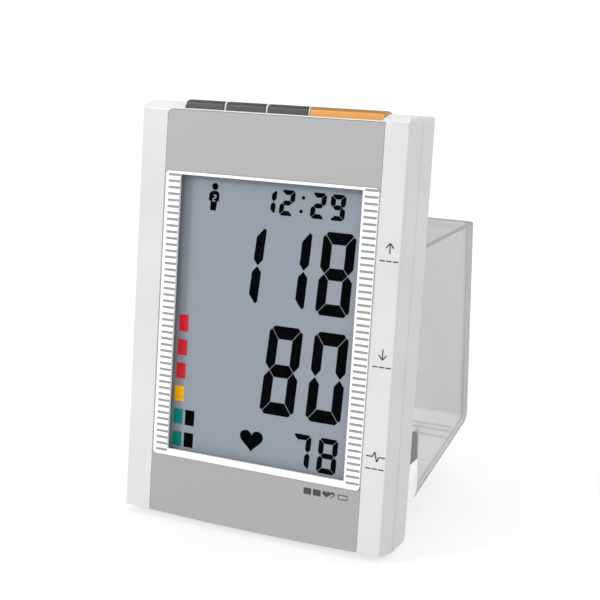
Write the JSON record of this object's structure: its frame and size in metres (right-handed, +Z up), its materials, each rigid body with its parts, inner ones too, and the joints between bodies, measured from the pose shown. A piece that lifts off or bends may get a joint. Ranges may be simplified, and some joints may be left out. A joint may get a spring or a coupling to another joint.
{
  "type": "blood pressure monitor",
  "caption": "Desktop digital blood pressure monitor: a display unit that leans back, buttons along its top edge, and a clear lift-off cuff bin behind it.",
  "frame": {"origin": "Centre of the bounding box's underside, on the surface that the rubber feet stand on.", "axes": "+X to the right as seen from the front, +Y from the display towards the bin at the back, +Z up."},
  "size_m": [0.12, 0.1122, 0.1761],
  "materials": {
    "shell_white": "fine satin moulding",
    "panel_grey": "satin, slightly metallic grey",
    "frame_white": "gloss",
    "lens_clear": "clear and polished",
    "lcd_glass": "blue-grey behind a polariser",
    "reflector": "pearl white sheet",
    "inner_plastic": "plain moulding",
    "circuit_board": "solder mask",
    "component_black": "moulded black",
    "button_grey": "satin",
    "button_orange": "satin",
    "cell_jacket": "printed metal jacket",
    "nickel": "nickel plated",
    "steel": "zinc plated",
    "tubing": "translucent silicone",
    "dark_grey": "satin",
    "rubber_dark": "matt",
    "bin_clear": "clear, lightly smoked and polished"
  },
  "bodies": {
    "housing": {"front_shell": "shell_white", "rear_shell": "shell_white", "face_panel": "panel_grey", "window_frame": "frame_white", "display_lens": "lens_clear", "lcd_glass": "lcd_glass", "lcd_reflector": "reflector", "lcd_holder": "inner_plastic", "zebra_strip": "rubber_dark", "main_board": "circuit_board", "processor": "component_black", "buzzer": "component_black", "pressure_sensor": "component_black", "button_board": "circuit_board", "left_switch": "component_black", "middle_switch": "component_black", "right_switch": "component_black", "start_switch": "component_black", "battery_cell_1": "cell_jacket", "battery_cell_2": "cell_jacket", "battery_cell_3": "cell_jacket", "battery_cell_4": "cell_jacket", "lower_contacts": "nickel", "upper_contacts": "nickel", "pump_motor": "steel", "pump_head": "component_black", "motor_sleeve": "rubber_dark", "head_sleeve": "rubber_dark", "air_manifold": "inner_plastic", "pump_tube": "tubing", "sensor_tube": "tubing", "release_valve": "steel", "air_socket": "dark_grey", "power_jack": "component_black", "lower_left_shell_screw": "steel", "lower_right_shell_screw": "steel", "upper_left_shell_screw": "steel", "upper_right_shell_screw": "steel", "lower_left_board_screw": "steel", "lower_right_board_screw": "steel", "upper_left_board_screw": "steel", "upper_right_board_screw": "steel", "front_left_foot": "rubber_dark", "back_left_foot": "rubber_dark", "front_right_foot": "rubber_dark", "back_right_foot": "rubber_dark"},
    "cuff_bin": {"cuff_bin": "bin_clear"},
    "battery_door": {"battery_door": "shell_white"},
    "left_button": {"left_button": "button_grey"},
    "middle_button": {"middle_button": "button_grey"},
    "right_button": {"right_button": "button_grey"},
    "start_button": {"start_button": "button_orange"},
    "left_catch": {"left_catch": "dark_grey"},
    "right_catch": {"right_catch": "dark_grey"}
  },
  "joints": [
    {"name": "left_button_press", "type": "slide", "parent": "housing", "child": "left_button", "axis": [0, -0.1347, -0.9909], "range_m": [0, 0.0008], "stiffness_N_per_m": 800, "springref_m": -0.0005},
    {"name": "middle_button_press", "type": "slide", "parent": "housing", "child": "middle_button", "axis": [0, -0.1347, -0.9909], "range_m": [0, 0.0008], "stiffness_N_per_m": 800, "springref_m": -0.0005},
    {"name": "right_button_press", "type": "slide", "parent": "housing", "child": "right_button", "axis": [0, -0.1347, -0.9909], "range_m": [0, 0.0008], "stiffness_N_per_m": 800, "springref_m": -0.0005},
    {"name": "start_button_press", "type": "slide", "parent": "housing", "child": "start_button", "axis": [0, -0.1347, -0.9909], "range_m": [0, 0.0008], "stiffness_N_per_m": 800, "springref_m": -0.0005},
    {"name": "left_catch_press", "type": "slide", "parent": "housing", "child": "left_catch", "axis": [1, 0, 0], "range_m": [0, 0.0016], "stiffness_N_per_m": 500, "springref_m": -0.0004},
    {"name": "right_catch_press", "type": "slide", "parent": "housing", "child": "right_catch", "axis": [-1, 0, 0], "range_m": [0, 0.0016], "stiffness_N_per_m": 500, "springref_m": -0.0004},
    {"name": "battery_door_lift", "type": "slide", "parent": "housing", "child": "battery_door", "axis": [0, 0.9909, -0.1347], "range_m": [0, 0.02]},
    {"name": "bin_lift", "type": "slide", "parent": "housing", "child": "cuff_bin", "axis": [0, 0.1347, 0.9909], "range_m": [0, 0.1]}
  ]
}
